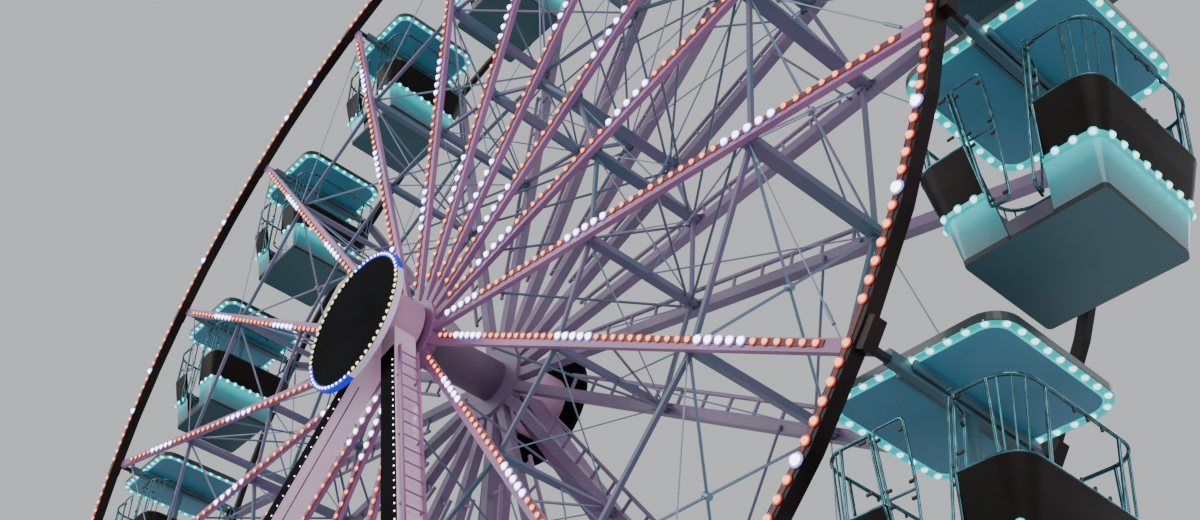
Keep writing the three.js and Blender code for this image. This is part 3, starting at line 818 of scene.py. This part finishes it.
# Top rail, wall trim, posts, jambs and clamps
def rails_mesh():
    shape = Shape()
    x, y, r, z = RAIL
    wx, wy, wr, wz = WALL_TOP
    top = (x - RAIL_INSET, y - RAIL_INSET, r - POST_INSET, z)
    low = (wx - POST_INSET, wy - POST_INSET, wr - POST_INSET, wz)
    tube(shape, open_loop(*top, JAMB_TOP[0]), RAIL_TUBE)
    tube(shape, open_loop(wx - 0.008, wy - 0.008, wr - 0.008, wz + 0.004, jamb_x(wz)), TRIM_TUBE)
    corner_posts(shape, closed_loop(*low), closed_loop(*top))
    foot = wz - 0.02
    jamb_foot, jamb_base = jamb_x(foot), jamb_x(-1.74)
    for sx in (-1, 1):
        for sy in (-1, 1):
            tube(shape, [(sx * 0.75, sy * low[1], wz), (sx * 0.75, sy * top[1], z)], POST_TUBE)
        for py in (-0.498, 0.545):
            tube(shape, [(sx * low[0], py, wz), (sx * top[0], py, z)], POST_TUBE)
        head = (sx * JAMB_TOP[0], -top[1], z + 0.01)
        tube(shape, [(sx * jamb_foot, -(wy - 0.018), foot), head], JAMB_HALF)
        tube(shape, [(sx * jamb_foot, -(wy - 0.012), foot), (sx * jamb_base, -0.80, -1.74)], 0.014)
    panel_clamps(shape)
    # the bracket that the open leaf hangs from
    tube(shape, [(JAMB_TOP[0], HINGE[1], -0.41), (0.385, HINGE[1], -0.411)], 0.013)
    return shape.mesh("gondola_rails", mats("chrome", "clamp"))


# A point on the right leaf's leaning hinge line
def hinge_point(z):
    drop = HINGE[2] - z
    return Vector((HINGE[0] - HINGE_LEAN[0] * drop, HINGE[1] + HINGE_LEAN[1] * drop, z))


# How far the free edge of a leaf stands from the middle of the doorway
def free_edge(z):
    if z < LEAF_BAR:
        return 0.021
    return lerp(0.005, 0.060, (z - LEAF_BAR) / 0.73) + 0.016


def free_point(z):
    return Vector((free_edge(z), hinge_point(z).y, z))


# A bend between two straight ends, through four points
def bend_points(start, corner, end):
    points = []
    for k in range(1, 5):
        t = k / 5
        points.append(start.lerp(corner, t).lerp(corner.lerp(end, t), t))
    return points


# The outline of a shut leaf at the right jamb
def leaf_points():
    top, bottom, c = LEAF_TOP, LEAF_BOTTOM, 0.05
    inwards = Vector((-c, 0, 0))
    corner = hinge_point(top)
    points = [hinge_point(bottom + c), hinge_point(-1.3), hinge_point(top - c)]
    points += bend_points(hinge_point(top - c), corner, corner + inwards)
    points.append(corner + inwards)
    edge = free_point(top)
    low = free_point(top - c)
    points.append(edge - inwards)
    points += bend_points(edge - inwards, edge, low)
    points += [low, free_point(LEAF_BAR), free_point(bottom + c)]
    foot = free_point(bottom)
    points += [foot + Vector((0.012, 0, 0.012)), foot - inwards]
    heel = hinge_point(bottom)
    points += [heel + inwards, heel + Vector((-0.012, 0, 0.012))]
    return points


# A shut leaf of round tube with a cross bar and the clamps of its clear panels
def leaf_shape():
    shape = Shape()
    tube(shape, leaf_points(), 0.0145, 0, 8, closed=True)
    tube(shape, [hinge_point(LEAF_BAR), free_point(LEAF_BAR)], 0.013, 0, 8)
    for z in (-0.56, -1.08, -1.24, -1.96):
        for edge, way in ((hinge_point(z), -1), (free_point(z), 1)):
            near = edge + Vector((way * 0.006, -0.004, 0))
            far = edge + Vector((way * 0.055, -0.004, 0))
            beam(shape, near, far, CLAMP[0], 0.026, (0, 0, 1), 1)
    return shape


# The left leaf mirrors the right one, and short stubs hold it to its jamb
def left_leaf_mesh():
    shape = leaf_shape()
    for z in (-0.54, -1.06):
        tube(shape, [hinge_point(z), Vector((jamb_x(z), hinge_point(z).y, z))], 0.012, 0, 8)
    shape.verts = [(-x, y, z) for x, y, z in shape.verts]
    shape.faces = turned(shape.faces)
    return shape.mesh("gondola_left_leaf", mats("chrome", "clamp"))


# The right leaf, swung open about its leaning hinge line
def gate_mesh():
    shape = leaf_shape()
    pivot = Vector(HINGE)
    axis = Vector((HINGE_LEAN[0], -HINGE_LEAN[1], 1))
    swing = Matrix.Rotation(math.radians(-OPEN_ANGLE), 4, axis)
    turn = Matrix.Translation(pivot) @ swing @ Matrix.Translation(-pivot)
    shape.verts = [tuple(turn @ Vector(v)) for v in shape.verts]
    return shape.mesh("gondola_gate", mats("chrome", "clamp"))


# Bench: section of its box, half the length of the box and of its board, and the board's height
BENCH = ((0.43, -1.628), (0.43, -2.075), (0.700, -2.075), (0.808, -1.628))
BENCH_HALF = 0.56
BOARD_HALF = 0.555
BOARD_HEIGHT = -1.618


# A box with a sloping back under a flat board, on the left or the right
def bench(shape, sx):
    verts = [Vector((sx * px, y, pz)) for y in (-BENCH_HALF, BENCH_HALF) for px, pz in BENCH]
    faces = [(0, 1, 2, 3), (7, 6, 5, 4), (0, 4, 5, 1), (1, 5, 6, 2), (2, 6, 7, 3), (3, 7, 4, 0)]
    if sx < 0:
        faces = turned(faces)
    shape.add(verts, faces, 2)
    ends = [(sx * 0.615, y, BOARD_HEIGHT) for y in (-BOARD_HALF, BOARD_HALF)]
    beam(shape, *ends, 0.34, 0.03, (1, 0, 0), 3, 0.012)


# Axle beam, hanging pins, column, benches and the channels beside the beam
def inside_mesh():
    shape = Shape()
    beam(shape, (0, -1.15, 0.025), (0, 1.05, 0.025), 0.10, 0.15, (1, 0, 0), 0, 0.012)
    tube(shape, [(0, -1.472, 0), (0, 1.202, 0)], 0.0445, 4, 16)
    tube(shape, [(0, 0, -2.076), (0, 0, -0.04)], 0.054, 0, 16)
    tube(shape, [(0, 0, -2.077), (0, 0, -2.04)], 0.11, 1, 20)
    for sx in (-1, 1):
        bench(shape, sx)
        channel = [(sx * 0.09, y, 0.03) for y in (-0.9, 0.9)]
        beam(shape, *channel, 0.04, 0.09, (1, 0, 0), 0, 0.004)
    return shape.mesh("gondola_inside", mats("beam", "steel", "seat", "inside", "clamp"))


GONDOLA = {
    "tub": tub_mesh(), "canopy": canopy_mesh(), "lights": gondola_lights(), "rails": rails_mesh(),
    "left_leaf": left_leaf_mesh(), "inside": inside_mesh(),
}
gate_data = gate_mesh()
for i in range(BAYS):
    name = f"gondola_{i + 1:02d}"
    centre = HUB + on_wheel(spoke_angle(i), PIN_CIRCLE, 0)
    for part, data in GONDOLA.items():
        piece = place(f"{name}_{part}", data, name, centre)
        if part == "tub":
            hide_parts(name)
    gate = place(f"{name}_gate_frame", gate_data, f"{name}_gate", centre)
    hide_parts(f"{name}_gate")

# STAND
paint_node("stand_axle", MAT["steel"], 0.01)
paint_node("stand_head_front", MAT["head"], 0.015)
paint_node("stand_head_rear", MAT["head"], 0.015)
paint_node("stand_cover_disc", MAT["black"], 0.006)
paint_node("stand_rear_disc", MAT["black"], 0.006)
for side in ("left", "right"):
    paint_node(f"stand_leg_front_{side}", MAT["stand"], 0.012)
    paint_node(f"stand_leg_rear_{side}", MAT["stand_rear"], 0.012)
paint_node("base_frame", MAT["stand"], 0.012)
paint_node("boarding_deck", MAT["deck"], 0.006)
paint_node("boarding_steps", MAT["deck"], 0.004)

# Cover disc: its middle, and its lamps' number, distance from the middle and place on the axle
DISC = HUB - Vector((0, 0, 0.22))
DISC_LAMPS = 64
DISC_RADIUS = 1.084
DISC_FACE = -1.842
# Its bands, whose blue parts and pale side glow with painted light: inner and outer radius, and where
# they lie along the axle
DISC_SIDE = (1.1195, 1.132, -1.842, -1.752)
DISC_RIM = (1.045, 1.120, -1.8445, -1.839)


# The ring glows blue with painted light over its upper and lower parts, where its lamps are white
BLUE_TILT = math.radians(28.5)
BLUE_FROM = 0.75


def in_blue_part(angle):
    return abs(math.sin(angle + BLUE_TILT)) > BLUE_FROM


def disc_lights():
    shape = Shape()
    for k in range(DISC_LAMPS):
        a = 2 * math.pi * k / DISC_LAMPS
        colour_lamp(shape, on_wheel(a, DISC_RADIUS, DISC_FACE), DISC_SIZES, in_blue_part(a))
    return shape.mesh("disc_lights", mats("yellow", "clamp", "white", "blue"))


def disc_edge():
    shape = Shape()
    steps = 96
    for sizes, plain in ((DISC_SIDE, 1), (DISC_RIM, 2)):
        start = len(shape.mats)
        ring_band(shape, *sizes, plain, steps)
        for face in range(4 * steps):
            if in_blue_part(2 * math.pi * (face % steps + 0.5) / steps):
                shape.mats[start + face] = 0
    return shape.mesh("disc_edge", mats("blue", "pale", "black"))


place("cover_disc_lights", disc_lights(), "stand", DISC)
place("cover_disc_edge", disc_edge(), "stand", DISC)


# A point on the middle line of a front leg: sx is -1 on the left
def leg_point(sx, z):
    drop = AXLE_HEIGHT - z
    return Vector((sx * (LEG_TOP_X + LEG_SPREAD * drop), -(LEG_TOP_Y + LEG_SPLAY * drop), z))


# Ladder up the outside of the front right leg: rails, rungs and stand-offs
def ladder():
    shape = Shape()
    out = Vector((1, 0, LEG_SPREAD)).normalized()
    low, high = leg_point(1, 0.6), leg_point(1, 12.9)
    side = Vector((0, 1, 0))
    lift = out * (LEG_HALF + 0.10)
    half, rungs, brackets = 0.15, 44, 9
    for s in (-half, half):
        beam(shape, low + lift + side * s, high + lift + side * s, 0.03, 0.06, side, 0)
    for k in range(rungs):
        p = low.lerp(high, (k + 0.5) / rungs) + lift
        tube(shape, [p - side * half, p + side * half], 0.012, 0, 8)
    for k in range(brackets):
        p = low.lerp(high, (k + 0.5) / brackets)
        for s in (-half, half):
            beam(shape, p + side * s + out * 0.12, p + side * s + lift, 0.03, 0.03, side, 0)
    return shape.mesh("leg_ladder", mats("frame"))


# Dark sheets on the front faces of the front legs: painted shade, where the floodlights under the wheel
# leave these faces unlit
def leg_painted_shade():
    shape = Shape()
    for sx in (-1, 1):
        low, high = leg_point(sx, 0.75), leg_point(sx, 13.0)
        along = (high - low).normalized()
        front = Vector((0, -1, 0))
        front = (front - along * front.dot(along)).normalized()
        off = front * 0.194
        beam(shape, low + off, high + off, 0.290, 0.014, (1, 0, 0), 0, 0.003)
    return shape.mesh("leg_front_painted_shade", mats("black"))


# Small white lamps down the right edge of each painted-shade sheet
LEG_LAMPS = 84


def leg_dots():
    shape = Shape()
    for sx in (-1, 1):
        low, high = leg_point(sx, 0.9), leg_point(sx, 12.7)
        for k in range(LEG_LAMPS):
            p = low.lerp(high, k / (LEG_LAMPS - 1))
            lamp(shape, p + Vector((0.132, -0.203, 0)), (0, -1, 0), 0.011, 0, 1, 8)
    return shape.mesh("leg_dots", mats("white", "clamp"))


# A dark conduit down the inner face of the front left leg
def leg_conduit():
    shape = Shape()
    off = Vector((0.155, -0.04, 0))
    tube(shape, [leg_point(-1, 0.8) + off, leg_point(-1, 12.95) + off], 0.012)
    return shape.mesh("leg_conduit", mats("clamp"))


place("leg_ladder", ladder(), "stand")
place("leg_conduit", leg_conduit(), "stand")
place("leg_front_painted_shade", leg_painted_shade(), "stand")
place("leg_dots", leg_dots(), "stand")


# Where the side railings stop and go on, so that the gondolas pass between, and half the gap
# at the steps
SIDE_STOP = -1.6
SIDE_START = 1.25
STEP_GAP = 0.9
# Bars of the railings: height over the deck, and radius
BARS = ((0.06, 0.014), (0.53, 0.014), (RAIL_HEIGHT, 0.021))
DECK_POST = 0.02


# Railings round the deck, open where the gondolas pass, and on the steps
def deck_rails():
    shape = Shape()
    x, y, top = DECK
    high = top + RAIL_HEIGHT
    rows = [[(x, SIDE_START), (x, y), (-x, y), (-x, SIDE_START)]]
    posts = [(lerp(-x, x, k / 8), y) for k in range(9)]
    for sx in (-1, 1):
        rows.append([(sx * STEP_GAP, -y), (sx * x, -y), (sx * x, SIDE_STOP)])
        posts += [(sx * lerp(STEP_GAP, x, k / 3), -y) for k in range(4)]
        posts += [(sx * x, SIDE_STOP), (sx * x, SIDE_START)]
    for row in rows:
        for dz, radius in BARS:
            tube(shape, [(px, py, top + dz) for px, py in row], radius)
    for px, py in posts:
        tube(shape, [(px, py, top - 0.01), (px, py, high)], DECK_POST)
    # handrails down the steps
    for sx in (-1, 1):
        a, b = Vector((sx * 0.93, -2.62, high)), Vector((sx * 0.93, -4.8, 1.15))
        tube(shape, [Vector((sx * STEP_GAP, -y, high)), a, b, b + Vector((0, 0, -0.9))], DECK_POST)
        mid = a.lerp(b, 0.5)
        tube(shape, [mid, mid + Vector((0, 0, -1.0))], 0.018)
    return shape.mesh("deck_rails", mats("steel"))


place("deck_rails", deck_rails(), "stand")


# FLOOR, LIGHT AND CAMERA
FLOOR_HALF = 1500
# Soft lights: place, size and power
LIGHTS = (((-22, -30, 34), 26, 9000), ((34, -18, 22), 22, 5000), ((8, 30, 30), 24, 4000))


def studio():
    floor_mesh = bpy.data.meshes.new("floor")
    corners = [(x * FLOOR_HALF, y * FLOOR_HALF, 0) for x, y in ((-1, -1), (1, -1), (1, 1), (-1, 1))]
    floor_mesh.from_pydata(corners, [], [(0, 1, 2, 3)])
    floor = bpy.data.objects.new("floor", floor_mesh)
    bpy.context.scene.collection.objects.link(floor)
    floor_mat = finish("floor_pale", (0.78, 0.78, 0.80), rough=0.8, tone=0.02)
    floor_mesh.materials.append(floor_mat)
    world = bpy.data.worlds.new("studio")
    world.use_nodes = True
    world.node_tree.nodes["Background"].inputs["Color"].default_value = (0.80, 0.82, 0.86, 1)
    world.node_tree.nodes["Background"].inputs["Strength"].default_value = 0.75
    bpy.context.scene.world = world
    for at, size, energy in LIGHTS:
        light = bpy.data.lights.new("soft", "AREA")
        light.size = size
        light.energy = energy
        obj = bpy.data.objects.new("soft", light)
        bpy.context.scene.collection.objects.link(obj)
        obj.location = at
        obj.rotation_euler = (Vector((0, 0, 10)) - Vector(at)).to_track_quat("-Z", "Y").to_euler()


studio()

# The photograph's camera: its place and its three directions, worked out from the rim's lamps
CAMERA_AT = (14.1722, -8.8875, 1.6393)
RIGHT = Vector((0.64362194, 0.76276072, 0.06282417))
DOWN = Vector((-0.4310772, 0.42912141, -0.79374257))
FORWARD = Vector((-0.63239485, 0.48378806, 0.60500071))
LENS = 40.78
SHIFT = (0.0337, 0.0746)
camera = bpy.data.objects.new("camera", bpy.data.cameras.new("camera"))
bpy.context.scene.collection.objects.link(camera)
turn = Matrix((RIGHT, -DOWN, -FORWARD)).transposed().to_4x4()
camera.matrix_world = Matrix.Translation(CAMERA_AT) @ turn
camera.data.sensor_width = 36
camera.data.lens = LENS
camera.data.shift_x, camera.data.shift_y = SHIFT
camera.data.clip_end = 4000
bpy.context.scene.camera = camera
